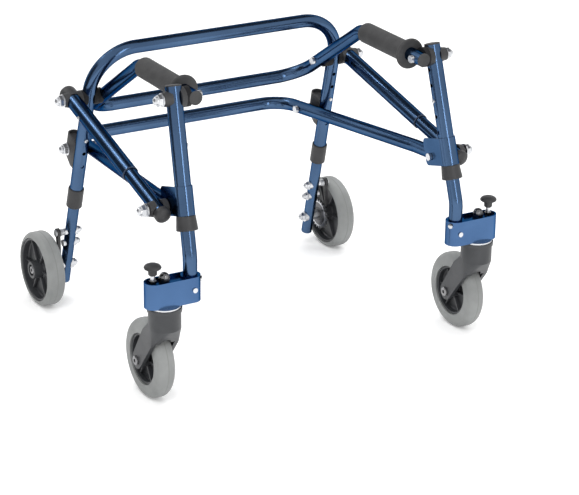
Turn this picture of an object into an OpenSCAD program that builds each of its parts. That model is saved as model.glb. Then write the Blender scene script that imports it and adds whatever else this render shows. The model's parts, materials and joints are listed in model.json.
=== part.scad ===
// Posterior walker: a folding frame on four wheels that stands behind its user.
// Millimetres, +Z up, the user walks towards -Y. The origin is on the floor, under the middle.

/* [Wheels] */
// Outside diameter of all four tyres
wheel_d = 127; // [122:1:132]
// Width of a rear tyre
rear_tyre_w = 32; // [28:1:34]
// Width of a caster tyre
caster_tyre_w = 30; // [27:1:32]
// From the middle plane to the middle of a rear wheel
rear_wheel_x = 283; // [281:1:290]
// From the middle plane to a caster's swivel axis
caster_x = 285; // [282:1:288]
// How far a caster wheel trails behind its swivel axis
caster_trail = 50; // [46:1:54]

/* [Tubes] */
// Outside diameter of the front legs and of the braces' outer tubes
leg_tube_d = 25.4; // [25:0.1:26]
// Outside diameter of the rear frame, the handlebar and the lower bar
frame_tube_d = 22.2; // [21.8:0.1:22.6]
// Wall of every tube
tube_wall = 1.5; // [1.3:0.1:1.7]

/* [Rear frame] */
// From the middle plane to a rear leg, at the axle
rear_leg_x = 239; // [238:0.5:240]
// Angle by which a rear leg leans forwards
rear_lean = 15; // [14:0.5:16]
// Angle by which a rear leg leans outwards at its foot
rear_splay = 1.5; // [1.2:0.1:1.8]
// From the axle up the leg to the handlebar's pivot
handle_pivot_up = 332; // [328:1:336]
// From the axle up the leg to the loop's top bar
loop_up = 415; // [410:1:425]
// Bend of the loop's corners, on the tube's axis
loop_bend_r = 75; // [65:1:85]
// From the axle up the leg to the end of the outer tube
rear_tube_end_up = 136; // [132:1:140]
// Step between the height holes
hole_step = 25.4; // [25:0.1:26]

/* [Handlebar] */
// Height of the hand grips
hand_z = 471; // [466:1:476]
// From the middle plane to an arm of the handlebar
handle_x = 203.5; // [202.5:0.5:204.5]
// From the rear axle forwards to the bend below the grip
knee_fwd = 220; // [216:1:224]
// From the rear axle forwards to the bar that crosses the back
handle_base_fwd = 20; // [16:1:26]
// Outside diameter of a hand grip
grip_d = 34; // [32:1:36]
// Length of a hand grip without its flange
grip_len = 130; // [120:1:140]
// From a grip's flange forwards to the front leg's pivot
grip_pivot_gap = 23.5; // [23.5:0.5:26]

/* [Lower bar] */
// From the rear axle forwards to the lower bar's rear pivot
lower_pivot_fwd = 27; // [26:0.5:28]
// Height of the lower bar's rear pivot
lower_pivot_z = 279; // [277:1:281]
// From the rear axle backwards to the bar that crosses the back
lower_base_back = 40; // [36:1:44]

/* [Front legs] */
// From the middle plane to a front leg, at the handlebar
front_leg_x = 232; // [231.5:0.5:233]
// Angle by which a front leg leans forwards at its foot
front_lean = 16; // [15.5:0.5:16.5]
// Angle by which a front leg leans outwards at its foot
front_splay = 2.3; // [2:0.1:2.6]
// From a front leg backwards to the brace's foot
brace_foot_back = 33.35; // [32:0.05:34]
// Height of the brace's foot
brace_foot_z = 306; // [304:1:308]
// Length of a brace's outer tube below its pivot
brace_tube_len = 228; // [222:1:234]
// Height at which a lower front leg bends upright
foot_bend_z = 240; // [238:1:242]
// Height of the caster bracket's lower edge
bracket_z = 171; // [168:1:174]
// Height of the caster bracket's strap
bracket_h = 41; // [38:1:42]

/* [Hidden] */
$fn = 48;

// Colours of the finishes
blue_tube = "#27457c";
black_plastic = "#1c1d20";
steel = "#b9bcc0";
grey_rubber = "#8d9096";
dark_plastic = "#3a3c40";

// Clearances and cuts
overrun = 5;
running_gap = 0.05;
slide_gap = 0.1;
turn_gap = 0.3;
pivot_gap = 5;
bend_overlap = 1;
bend_swell = 0.05;

// Fasteners
bolt_r = 3;
bolt_head_r = 6;
bolt_head_h = 5;
nut_r = 6.4;
nut_h = 6;
nut_dome_r = 5.2;
washer_r = 11;
washer_h = 1.4;
small_washer_r = 8;
bore_r = bolt_r + running_gap;
saddle_r = 13;
saddle_taper = 2.5;
wide_saddle_r = 16;
brace_saddle_back = 3.5;
front_saddle_back = 7.5;
foot_saddle_back = 4.8;
saddle_grip_share = 0.5;

// Radii of the tubes and of what slides in them
wheel_r = wheel_d / 2;
leg_r = leg_tube_d / 2;
frame_r = frame_tube_d / 2;
leg_slider_r = leg_r - tube_wall - slide_gap;
rear_slider_r = frame_r - tube_wall - slide_gap;

// Snap buttons and their holes
button_r = 3.1;
button_hole_r = button_r + slide_gap;
button_proud = 3;
rear_button_up = 254;
front_button_down = 72;
brace_button_down = 56;
button_tail = 15;
holes_above = 2;
holes_below = 2;

// Grip and caster sizes that set how far the walker reaches forwards
grip_knee_gap = 11.5;
flange_h = 6;
grip_start_fwd = knee_fwd + grip_knee_gap;
handle_end_fwd = grip_start_fwd + grip_len + flange_h + grip_pivot_gap;
crown_r = 27;
front_up = [-sin(front_splay) * cos(front_lean), sin(front_lean), cos(front_splay) * cos(front_lean)];
foot_fwd = handle_end_fwd + (hand_z - foot_bend_z) * front_up.y / front_up.z;
front_reach = foot_fwd + crown_r;
rear_y = (front_reach - wheel_r) / 2;

// Places on the right side, x > 0
function place(x, fwd, z) = [x, rear_y - fwd, z];
function flip(p) = [-p.x, p.y, p.z];
function unit(v) = v / norm(v);
rear_up = [-sin(rear_splay) * cos(rear_lean), -sin(rear_lean), cos(rear_splay) * cos(rear_lean)];
axle_point = place(rear_leg_x, 0, wheel_r);
pivot_a = axle_point + handle_pivot_up * rear_up;
loop_corner = axle_point + loop_up * rear_up;
pivot_d = place(front_leg_x, handle_end_fwd, hand_z);
function front_at(z) = pivot_d + front_up * (z - hand_z) / front_up.z;
brace_foot_fwd = handle_end_fwd + (hand_z - brace_foot_z) * front_up.y / front_up.z - brace_foot_back;
foot_x = front_leg_x + front_up.x
    * ([0, handle_end_fwd - brace_foot_fwd, brace_foot_z - hand_z] * front_up);
foot_corner = front_at(foot_bend_z);

// Handlebar: the arm's line runs from the knee through the rear pivot to the base
knee = place(handle_x, knee_fwd, hand_z);
arm_slope = (hand_z - pivot_a.z) / (pivot_a.y - knee.y);
handle_base = place(handle_x, handle_base_fwd,
    pivot_a.z - arm_slope * (rear_y - handle_base_fwd - pivot_a.y));
knee_bend_r = 36;
base_bend_r = 48;
bar_past_pivot = 14;
bar_end = place(handle_x, handle_end_fwd + bar_past_pivot, hand_z);
grip_wall_gap = 0.1;
flange_d = 50;
grip_end_r = 4.5;
flange_fillet = 3;
plug_h = 3;

// Lower bar
lower_bar_gap = 4;
block_w = 22;
block_front_gap = 0.1;
block_h = 54;
block_behind = 11;
block_corner_r = 5;
block_taper = 5;
block_boss_r = 7;
leg_at_lower_pivot = axle_point + rear_up * (lower_pivot_z - wheel_r) / rear_up.z;
lower_x = leg_at_lower_pivot.x - block_w / 2 - lower_bar_gap - frame_r;
pivot_b = place(lower_x, lower_pivot_fwd, lower_pivot_z);
lower_slope = (brace_foot_z - lower_pivot_z) / (brace_foot_fwd - lower_pivot_fwd);
lower_turn_back = 65;
lower_turn_fwd = brace_foot_fwd - lower_turn_back;
lower_spread = (foot_x - lower_x) / (lower_turn_fwd - lower_pivot_fwd);
function lower_z(fwd) = lower_pivot_z + lower_slope * (fwd - lower_pivot_fwd);
lower_base = place(lower_x - lower_spread * (lower_pivot_fwd + lower_base_back), -lower_base_back,
    lower_z(-lower_base_back));
lower_turn = place(foot_x, lower_turn_fwd, lower_z(lower_turn_fwd));
lower_turn_r = 90;
lower_bend_r = 46;
lower_past_pivot = 9;
lower_end_fwd = brace_foot_fwd + lower_past_pivot;
lower_end = place(foot_x, lower_end_fwd, lower_z(lower_end_fwd));
open_pivot_gap = 5;
foot_play = 3;
open_bore_r = bolt_r + open_pivot_gap;

// Bracket that joins the brace and the lower bar to a front leg
plate_t = 1.8;
sleeve_r = leg_r + running_gap + plate_t;
plate_depth = 48;
plate_h = 45;
plate_low = 177;
plate_corner_r = 7;
pivot_c = place(foot_x, brace_foot_fwd, brace_foot_z);

// Brace
brace_top = pivot_a + [frame_r + pivot_gap + leg_r, 0, 0];
brace_foot_point = pivot_c + [sleeve_r + pivot_gap + leg_slider_r, 0, 0];
brace_dir = unit(brace_foot_point - brace_top);
brace_len = norm(brace_foot_point - brace_top);
brace_past_pivot = 13;
brace_cap_h = 8;
brace_bush_h = 2;
foot_past_pivot = 14;
foot_plate_gap = 1.5;
foot_cap_r = 13;
foot_cap_h = 12;
collar_wall = 2.2;

// Leg collars and caps
rear_collar_len = 36;
rear_collar_low = 17;
front_tube_top = 18;
front_tube_low = 190;
front_collar_low = 10;
front_collar_len = front_tube_low + front_collar_low - plate_low - running_gap;
front_collar_flare = 2;
leg_cap_h = 3;
rear_leg_foot = 30;
foot_plug_h = 6;
foot_bend_r = 60;

// Caster bracket, swivel and lock
strap_r = 16;
strap_wall = 2.5;
strap_past_swivel = 17;
strap_end_x = caster_x + strap_past_swivel;
web_drop = 5;
web_t = 3.5;
swivel_r = 5;
swivel_nut_r = 9.5;
swivel_nut_h = 9;
swivel_dome_r = 8;
swivel_head_r = 9;
swivel_head_h = 5;
bearing_r = 25;
bearing_h = 3;
bearing_gap = 0.3;
screw_head_r = 4;
screw_head_h = 2;
screw_angles = [-90, -150];
screw_height_shares = [0.5, 0.85];
lock_reach = 19.5;
lock_x = caster_x + lock_reach;
lock_pin_r = 3.6;
lock_travel = 8;
lock_sleeve_r = 5.5;
lock_sleeve_h = 7;
lock_rise = 8;
lock_knob_r = 13.5;
lock_neck_r = 7.5;
lock_neck_h = 11;
lock_neck_chamfer = 2;
lock_rim_h = 4;
lock_count = 4;
lock_hole_gap = 0.5;

// Fork
fork_top = bracket_z - bearing_h;
fork_tyre_gap = 1.7;
fork_slot_w = caster_tyre_w + 2 * fork_tyre_gap;
fork_side_t = 7;
fork_half_w = fork_slot_w / 2 + fork_side_t;
fork_wheel_gap = 4.5;
fork_eye_r = 14;
crown_h = 6;
drum_r = 25.4;
drum_h = 34;
elbow_r = 17;
elbow_back = 15;
elbow_drop = 54;
head_recess = 38;
axle_r = 4;
axle_head_r = 7.5;
axle_head_h = 3.5;

// Wheels
caster_rim_share = 0.65;
rear_rim_share = 0.86;
caster_shoulder_r = 12;
rear_shoulder_r = 9;
rim_wall = 4;
web_half = 2.5;
caster_boss_r = 13;
caster_pockets = 6;
pocket_r = 7;
rear_boss_r = 15;
rear_ribs = 8;
rib_t = 3;
rib_set_back = 6;
tyre_seat = 0.05;
rear_rim_in = 2;
hub_cap_h = 4;
boss_face_gap = 0.4;

// Ratchet, pawl and rear axle
ratchet_teeth = 24;
ratchet_r = 27;
ratchet_depth = 4;
ratchet_t = 6;
ratchet_seat_r = 12;
root_start_share = -0.55;
root_end_share = 0.12;
tip_start_share = 0.36;
tip_end_share = 0.43;
ratchet_angle = 56.5;
ratchet_x = 258;
pawl_up = 68;
post_up = 45;
pawl_t = 5;
pawl_x = ratchet_x + (ratchet_t - pawl_t) / 2;
pawl_r = 8;
pawl_arm = 43.5;
pawl_angle = 7;
pawl_tip_w = 1.6;
pawl_root_w = 11;
spacer_r = 8;
rear_nut_r = 7.5;
rear_nut_h = 6.5;
rear_washer_r = 9.5;
post_head_h = 3;
pawl_head_h = 2;

// Left side pieces are the right side's, mirrored
module side(s) {
    if (s == "right") children();
    else mirror([1, 0, 0]) children();
}

// Turns +Z to a direction
module aim(dir) {
    rotate([0, acos(dir.z / norm(dir)), atan2(dir.y, dir.x)]) children();
}

module rod(from, to, r) {
    translate(from) aim(to - from) cylinder(r = r, h = norm(to - from));
}

// Bar along X through a point, between two x values
module cross_rod(p, x_from, x_to, r, sides = $fn) {
    translate([x_from, p.y, p.z]) rotate([0, 90, 0]) cylinder(r = r, h = x_to - x_from, $fn = sides);
}

module ring(r, wall) {
    difference() {
        circle(r);
        circle(r - wall);
    }
}

function heading(points, i) = unit(points[i + 1] - points[i]);
function turn_at(points, i) = acos(heading(points, i - 1) * heading(points, i));
function cut_at(points, radii, i) =
    i == 0 || i == len(points) - 1 ? 0 : radii[i - 1] * tan(turn_at(points, i) / 2);

module tube_bend(corner, u, w, bend_r, r, wall) {
    turn = acos(u * w);
    inward = unit(w - u * (u * w));
    centre = corner - u * bend_r * tan(turn / 2) + inward * bend_r;
    e1 = -inward;
    e3 = cross(e1, u);
    multmatrix([[e1.x, u.x, e3.x, centre.x], [e1.y, u.y, e3.y, centre.y], [e1.z, u.z, e3.z, centre.z]])
        rotate_extrude(angle = turn) translate([bend_r, 0]) ring(r, wall);
}

// Round tube along corners, each corner bent to its own radius. A straight run ends inside
// the bend's wall, which bending has swollen a little.
module tube(points, radii, r, wall) {
    last = len(points) - 1;
    for (i = [0 : last - 1]) {
        from = points[i] + heading(points, i) * (i == 0 ? 0 : cut_at(points, radii, i) - bend_overlap);
        to = points[i + 1] - heading(points, i)
            * (i == last - 1 ? 0 : cut_at(points, radii, i + 1) - bend_overlap);
        translate(from) aim(to - from) linear_extrude(norm(to - from)) ring(r, wall);
    }
    for (i = [1 : last - 1])
        tube_bend(points[i], heading(points, i - 1), heading(points, i), radii[i - 1],
            r + bend_swell, wall + 2 * bend_swell);
}

// Frames of the slanting pieces on the right side
module rear_leg_frame() { translate(axle_point) rotate([rear_lean, -rear_splay, 0]) children(); }
module front_leg_frame() { translate(pivot_d) rotate([-front_lean, -front_splay, 0]) children(); }
module brace_frame() { translate(brace_top) aim(brace_dir) children(); }

// Rounded rectangle between two corners
module rounded(low, high, r) {
    translate([low.x + r, low.y]) square([high.x - low.x - 2 * r, high.y - low.y]);
    translate([low.x, low.y + r]) square([high.x - low.x, high.y - low.y - 2 * r]);
    for (x = [low.x + r, high.x - r], y = [low.y + r, high.y - r])
        translate([x, y]) circle(r);
}

// Pivot bolt along X with a round head at the inner end and a cap nut at the outer end
module pivot_bolt(p, x_head, x_nut) {
    cross_rod(p, x_head - bolt_head_h, x_head, bolt_head_r);
    cross_rod(p, x_head, x_nut, bolt_r);
    cap_nut(p, x_nut);
}

module cap_nut(p, x) {
    cross_rod(p, x, x + nut_h, nut_r, 6);
    translate([x + nut_h, p.y, p.z]) sphere(nut_dome_r);
}

// Cap on a tube's end: a short rim, then a dome
module dome_cap(r, h) {
    rotate_extrude() {
        square([r, h / 2]);
        intersection() {
            translate([0, h / 2]) scale([1, h / 2 / r]) circle(r);
            translate([0, h / 2]) square(r);
        }
    }
}

// Saddle washer along X, from the tube's side to its flat face: round outside, one end curved over
// the tube that is cut away, the other end narrower by a taper
module saddle(p, x_tube, x_flat, bore, r, taper = 0) {
    low = min(x_tube, x_flat);
    length = abs(x_flat - x_tube);
    outwards = x_flat > x_tube;
    difference() {
        translate([low, p.y, p.z]) rotate([0, 90, 0])
            cylinder(r1 = outwards ? r : r - taper, r2 = outwards ? r - taper : r, h = length);
        cross_rod(p, low - overrun, low + length + overrun, bore);
        children();
    }
}

// Snap button along +X, its inner end at x = start
module snap_button(start, wall) {
    straight = wall + button_proud - button_r / 2;
    rotate([0, 90, 0]) translate([0, 0, start]) rotate_extrude() {
        square([button_r, straight]);
        intersection() {
            translate([0, straight]) scale([1, 1 / 2]) circle(button_r);
            translate([0, straight]) square(button_r);
        }
    }
}

module rear_holes() {
    for (i = [-holes_below : holes_above])
        rear_leg_frame() translate([0, 0, rear_button_up + i * hole_step]) rotate([90, 0, 0])
            cylinder(r = button_hole_r, h = frame_r + overrun);
}

// Bent loop that makes the top bar and both rear legs
module rear_frame() color(blue_tube) difference() {
    leg_end = axle_point + rear_tube_end_up * rear_up;
    tube([flip(leg_end), flip(loop_corner), loop_corner, leg_end], [loop_bend_r, loop_bend_r],
        frame_r, tube_wall);
    for (s = ["left", "right"]) side(s) {
        cross_rod(pivot_a, pivot_a.x - frame_r - overrun, pivot_a.x + frame_r + overrun, bore_r);
        rear_holes();
    }
}

// Stepped sleeve that guides the sliding leg at the outer tube's end
module collar(tube_r, slider_r, len, low, flare = 0) {
    outer = tube_r + collar_wall;
    wide = outer + flare;
    chamfer = collar_wall / 2;
    rotate_extrude() polygon([[slider_r + slide_gap, -low], [wide - chamfer, -low], [wide, chamfer - low],
        [outer, len - low - chamfer], [outer - chamfer, len - low], [tube_r + running_gap, len - low],
        [tube_r + running_gap, 0], [slider_r + slide_gap, 0]]);
}

module leg_collars() color(black_plastic) for (s = ["left", "right"]) side(s)
    rear_leg_frame() translate([0, 0, rear_tube_end_up])
        collar(frame_r, rear_slider_r, rear_collar_len, rear_collar_low);

// Plastic block behind a rear leg that carries the lower bar's pivot, its boss keeps the bar off the leg
module pivot_blocks() color(black_plastic) for (s = ["left", "right"]) side(s) difference() {
    back = rear_y - lower_pivot_fwd + block_behind;
    front = leg_at_lower_pivot.y;
    low = lower_pivot_z - block_h / 2;
    inner_x = leg_at_lower_pivot.x - block_w / 2;
    union() {
        translate([inner_x, 0, 0]) rotate([90, 0, 90]) linear_extrude(block_w) difference() {
            rounded([front, low], [back, low + block_h], block_corner_r);
            translate([back, low]) rotate(45) square(block_taper * 2, center = true);
        }
        cross_rod(pivot_b, lower_x + frame_r + turn_gap + block_boss_r * lower_spread, inner_x + overrun,
            block_boss_r);
    }
    rod(axle_point, loop_corner, frame_r + block_front_gap);
    translate(leg_at_lower_pivot) rotate([rear_lean, -rear_splay, 0])
        translate([-block_w, -block_h, -block_h]) cube([2 * block_w, block_h, 2 * block_h]);
    cross_rod(pivot_b, 0, leg_at_lower_pivot.x + block_w, bore_r);
}

module leg_saddles() color(black_plastic) for (s = ["left", "right"]) side(s) {
    inner_flat = pivot_a.x - frame_r - (pivot_a.x - handle_x - 2 * frame_r - turn_gap) / 2;
    outer_flat = pivot_a.x + frame_r + (pivot_gap - turn_gap) / 2;
    saddle(pivot_a, pivot_a.x - frame_r * saddle_grip_share, inner_flat, bore_r, saddle_r) leg_bar();
    saddle(pivot_a, pivot_a.x + frame_r * saddle_grip_share, outer_flat, bore_r, saddle_r) leg_bar();
}

module leg_bar() rod(axle_point, loop_corner, frame_r + running_gap);

module frame_bolts() color(steel) for (s = ["left", "right"]) side(s) {
    pivot_bolt(pivot_a, handle_x - frame_r - turn_gap, brace_top.x + leg_r + brace_saddle_back + turn_gap);
    pivot_bolt(pivot_b, lower_x - frame_r - turn_gap - bolt_head_r * lower_spread,
        leg_at_lower_pivot.x + block_w / 2 + running_gap);
}

module rear_button(s) color(steel) side(s) rear_leg_frame()
    translate([0, 0, rear_button_up]) rotate(-90) snap_button(frame_r - tube_wall + running_gap, tube_wall);

// U-shaped handlebar with its base across the back
module handlebar() color(blue_tube) difference() {
    tube([bar_end, knee, handle_base, flip(handle_base), flip(knee), flip(bar_end)],
        [knee_bend_r, base_bend_r, base_bend_r, knee_bend_r], frame_r, tube_wall);
    for (s = ["left", "right"], p = [pivot_a, pivot_d]) side(s)
        cross_rod(p, handle_x - frame_r - overrun, handle_x + frame_r + overrun, bore_r);
}

// Half profile of a grip: round at the rear end, a fillet up to the round-edged flange
module grip_profile() {
    inner_r = frame_r + grip_wall_gap;
    outer_r = grip_d / 2;
    rim_r = (flange_d - flange_h) / 2;
    translate([inner_r, 0]) square([outer_r - grip_end_r - inner_r, grip_len + flange_h]);
    translate([inner_r, grip_end_r]) square([outer_r - inner_r, grip_len + flange_h - grip_end_r]);
    intersection() {
        translate([outer_r - grip_end_r, grip_end_r]) circle(grip_end_r);
        translate([inner_r, 0]) square(2 * grip_end_r);
    }
    translate([inner_r, grip_len]) square([rim_r - inner_r, flange_h]);
    translate([rim_r, grip_len + flange_h / 2]) circle(flange_h / 2);
    difference() {
        translate([inner_r, grip_len - flange_fillet]) square([outer_r + flange_fillet - inner_r, flange_h]);
        translate([outer_r + flange_fillet, grip_len - flange_fillet]) circle(flange_fillet);
    }
}

// Smooth grip with its flange, and the domed plug in the bar's end
module hand_grips() color(dark_plastic) for (s = ["left", "right"]) side(s) {
    translate(place(handle_x, grip_start_fwd, hand_z)) rotate([90, 0, 0]) rotate_extrude() grip_profile();
    translate(bar_end) rotate([90, 0, 0]) dome_cap(frame_r, plug_h);
}

module arm_bar() rod(handle_base, knee, frame_r + running_gap);
module grip_bar() rod(knee, bar_end - [0, overrun, 0], frame_r + running_gap);

module handlebar_saddles() color(black_plastic) for (s = ["left", "right"]) side(s) {
    rear_flat = handle_x + frame_r + (pivot_a.x - handle_x - 2 * frame_r - turn_gap) / 2;
    front_flat = handle_x + frame_r + (front_leg_x - leg_r - handle_x - frame_r - turn_gap) / 2;
    saddle(pivot_a, handle_x + frame_r * saddle_grip_share, rear_flat, bore_r, saddle_r) arm_bar();
    saddle(pivot_d, handle_x + frame_r * saddle_grip_share, front_flat, bore_r, wide_saddle_r) grip_bar();
}

module handlebar_bolts() color(steel) for (s = ["left", "right"]) side(s)
    pivot_bolt(pivot_d, handle_x - frame_r - running_gap, front_leg_x + leg_r + front_saddle_back + turn_gap);

// U-shaped bar that ties the rear legs to the front legs' brackets
module lower_bar() color(blue_tube) difference() {
    tube([lower_end, lower_turn, lower_base, flip(lower_base), flip(lower_turn), flip(lower_end)],
        [lower_turn_r, lower_bend_r, lower_bend_r, lower_turn_r], frame_r, tube_wall);
    for (s = ["left", "right"]) side(s) {
        cross_rod(pivot_b, lower_x - frame_r - overrun, lower_x + frame_r + overrun, bore_r);
        cross_rod(pivot_c, pivot_c.x - frame_r - overrun, pivot_c.x + frame_r + overrun, open_bore_r);
    }
}

module front_leg(s) color(blue_tube) side(s) difference() {
    front_leg_frame() translate([0, 0, -front_tube_low]) linear_extrude(front_tube_low + front_tube_top)
        ring(leg_r, tube_wall);
    cross_rod(pivot_d, front_leg_x - leg_r - overrun, front_leg_x + leg_r + overrun, bore_r);
    for (i = [-holes_below : holes_above])
        front_leg_frame() translate([0, 0, i * hole_step - front_button_down]) rotate([0, -90, 0])
            cylinder(r = button_hole_r, h = leg_r + overrun);
}

// Sheet folded round the front leg, its two plates carrying the brace and the lower bar
module brace_bracket(s) color(blue_tube) side(s) difference() {
    front_leg_frame() intersection() {
        translate([0, 0, -plate_low]) linear_extrude(plate_h) difference() {
            union() {
                circle(sleeve_r);
                translate([-sleeve_r, 0]) square([2 * sleeve_r, plate_depth]);
            }
            circle(sleeve_r - plate_t);
            translate([plate_t - sleeve_r, 0]) square([2 * (sleeve_r - plate_t), plate_depth + overrun]);
        }
        translate([-sleeve_r - overrun, 0, 0]) rotate([90, 0, 90]) linear_extrude(2 * (sleeve_r + overrun))
            rounded([-sleeve_r - overrun, -plate_low], [plate_depth, plate_h - plate_low], plate_corner_r);
    }
    cross_rod(pivot_c, pivot_c.x - sleeve_r - overrun, pivot_c.x + sleeve_r + overrun, bore_r);
}

module front_leg_caps(s) color(black_plastic) side(s) {
    inner_flat = front_leg_x - leg_r - (front_leg_x - leg_r - handle_x - frame_r - turn_gap) / 2;
    outer_flat = front_leg_x + leg_r + front_saddle_back;
    front_leg_frame() translate([0, 0, front_tube_top]) dome_cap(leg_r, leg_cap_h);
    front_leg_frame() translate([0, 0, -front_tube_low])
        collar(leg_r, leg_slider_r, front_collar_len, front_collar_low, front_collar_flare);
    saddle(pivot_d, front_leg_x - leg_r * saddle_grip_share, inner_flat, bore_r, wide_saddle_r) front_bar();
    saddle(pivot_d, front_leg_x + leg_r * saddle_grip_share, outer_flat, bore_r, saddle_r, saddle_taper)
        front_bar();
}

module front_bar() rod(front_at(brace_foot_z), pivot_d + front_up * leg_tube_d, leg_r + running_gap);

// Bolt of the brace's foot: it holds the bracket, the lower bar's end and the brace
module brace_bolt(s) color(steel) side(s) {
    washer_x = brace_foot_point.x + leg_slider_r + foot_saddle_back + foot_play;
    pivot_bolt(pivot_c, pivot_c.x - sleeve_r - turn_gap, washer_x + washer_h);
    cross_rod(pivot_c, washer_x, washer_x + washer_h, washer_r);
}

module front_button(s) color(steel) side(s) front_leg_frame()
    translate([0, 0, -front_button_down]) rotate(180) snap_button(leg_r - tube_wall + running_gap, tube_wall);

// Sliding lower leg that bends upright into the caster bracket
module lower_front_leg(s) color(blue_tube) side(s) difference() {
    top = pivot_d - front_up * (front_button_down - button_tail);
    foot = [foot_corner.x, foot_corner.y, bracket_z];
    tube([top, foot_corner, foot], [foot_bend_r], leg_slider_r, tube_wall);
    for (i = [0 : 1])
        front_leg_frame() translate([0, 0, -front_button_down - i * hole_step]) rotate([0, -90, 0])
            cylinder(r = button_hole_r, h = leg_r + overrun);
}

module strap_outline(r) {
    for (x = [foot_corner.x, strap_end_x])
        translate([x, foot_corner.y]) circle(r);
    translate([foot_corner.x, foot_corner.y - r]) square([strap_end_x - foot_corner.x, 2 * r]);
}

// Strap round the leg and the swivel, closed by two plates
module caster_bracket(s) color(blue_tube) side(s) difference() {
    union() {
        translate([0, 0, bracket_z]) linear_extrude(bracket_h) difference() {
            strap_outline(strap_r);
            strap_outline(strap_r - strap_wall);
        }
        for (z = [bracket_z, bracket_z + bracket_h - web_drop - web_t])
            translate([0, 0, z]) linear_extrude(web_t) strap_outline(strap_r - strap_wall / 2);
        translate([foot_corner.x, foot_corner.y, bracket_z])
            cylinder(r = strap_r - strap_wall / 2, h = bracket_h);
    }
    translate([foot_corner.x, foot_corner.y, bracket_z - overrun])
        cylinder(r = leg_slider_r + running_gap, h = bracket_h + 2 * overrun);
    translate([caster_x, foot_corner.y, bracket_z - overrun])
        cylinder(r = swivel_r + running_gap, h = bracket_h + 2 * overrun);
    translate([lock_x, foot_corner.y, bracket_z - overrun])
        cylinder(r = lock_pin_r + slide_gap, h = bracket_h + 2 * overrun);
}

// Swivel bolt with its domed nut, bearing ring, leg screws and the lock's sleeve
module caster_hardware(s) color(steel) side(s) {
    web_top = bracket_z + bracket_h - web_drop;
    translate([caster_x, foot_corner.y, fork_top - head_recess])
        cylinder(r = swivel_r, h = web_top - fork_top + head_recess);
    translate([caster_x, foot_corner.y, fork_top - head_recess])
        cylinder(r = swivel_head_r, h = swivel_head_h);
    translate([caster_x, foot_corner.y, web_top]) cylinder(r = swivel_nut_r, h = swivel_nut_h, $fn = 6);
    translate([caster_x, foot_corner.y, web_top + swivel_nut_h]) sphere(swivel_dome_r);
    difference() {
        translate([caster_x, foot_corner.y, fork_top + bearing_gap])
            cylinder(r = bearing_r, h = bearing_h - bearing_gap);
        translate([caster_x, foot_corner.y, fork_top])
            cylinder(r = swivel_r + running_gap, h = 2 * bearing_h);
        translate([lock_x, foot_corner.y, fork_top])
            cylinder(r = lock_pin_r + slide_gap, h = 2 * bearing_h);
    }
    for (i = [0 : len(screw_angles) - 1])
        translate([foot_corner.x, foot_corner.y, bracket_z + screw_height_shares[i] * bracket_h])
            rotate([0, 90, screw_angles[i]]) translate([0, 0, strap_r + running_gap])
                cylinder(r = screw_head_r, h = screw_head_h);
    difference() {
        translate([lock_x, foot_corner.y, web_top]) cylinder(r = lock_sleeve_r, h = lock_sleeve_h);
        translate([lock_x, foot_corner.y, web_top - overrun])
            cylinder(r = lock_pin_r + slide_gap, h = lock_sleeve_h + 2 * overrun);
    }
}

// Mushroom knob on its pin, shown raised: pushed down, the pin stops the fork from turning
module swivel_lock(s) color(black_plastic) side(s) translate([lock_x, foot_corner.y, 0]) {
    pin_low = bracket_z + turn_gap;
    knob_low = bracket_z + bracket_h - web_drop + lock_sleeve_h + lock_travel + lock_rise;
    translate([0, 0, pin_low]) cylinder(r = lock_pin_r, h = knob_low - pin_low);
    translate([0, 0, knob_low]) rotate_extrude() {
        polygon([[0, 0], [lock_neck_r - lock_neck_chamfer, 0], [lock_neck_r, lock_neck_chamfer],
            [lock_neck_r, lock_neck_h], [0, lock_neck_h]]);
        translate([0, lock_neck_h]) square([lock_knob_r - lock_rim_h / 2, lock_rim_h]);
        translate([lock_knob_r - lock_rim_h / 2, lock_neck_h + lock_rim_h / 2]) circle(lock_rim_h / 2);
        intersection() {
            translate([0, lock_neck_h + lock_rim_h]) scale([1, 1 / 3]) circle(lock_knob_r - lock_rim_h / 2);
            translate([0, lock_neck_h + lock_rim_h]) square(lock_knob_r);
        }
    }
}

// Bar of a round section across the fork, y to the rear from the swivel axis
module fork_bar(back, z, r) {
    translate([-fork_half_w, back, z]) rotate([0, 90, 0]) cylinder(r = r, h = 2 * fork_half_w, $fn = 32);
}

// One-piece trailing fork: a drum under the bracket that flows into two blades
module caster_fork(s) color(dark_plastic) side(s) translate([caster_x, foot_corner.y, 0]) difference() {
    union() {
        translate([0, 0, fork_top - crown_h]) cylinder(r = crown_r, h = crown_h);
        translate([0, 0, fork_top - drum_h]) cylinder(r = drum_r, h = drum_h);
        hull() {
            translate([0, 0, fork_top - drum_h]) cylinder(r = drum_r, h = crown_h, $fn = 48);
            fork_bar(elbow_back, fork_top - elbow_drop, elbow_r);
        }
        hull() {
            fork_bar(elbow_back, fork_top - elbow_drop, elbow_r);
            fork_bar(caster_trail, wheel_r, fork_eye_r);
        }
    }
    translate([-fork_slot_w / 2, caster_trail, wheel_r]) rotate([0, 90, 0])
        cylinder(r = wheel_r + fork_wheel_gap, h = fork_slot_w);
    cylinder(r = swivel_r + running_gap, h = bracket_z);
    cylinder(r = swivel_head_r + slide_gap, h = fork_top - head_recess + swivel_head_h + turn_gap);
    for (i = [0 : lock_count - 1]) rotate(i * 360 / lock_count)
        translate([lock_x - caster_x, 0, fork_top - lock_travel - lock_hole_gap])
            cylinder(r = lock_pin_r + lock_hole_gap, h = lock_travel + overrun);
    translate([-fork_half_w - overrun, caster_trail, wheel_r]) rotate([0, 90, 0])
        cylinder(r = axle_r + running_gap, h = 2 * (fork_half_w + overrun));
}

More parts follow.
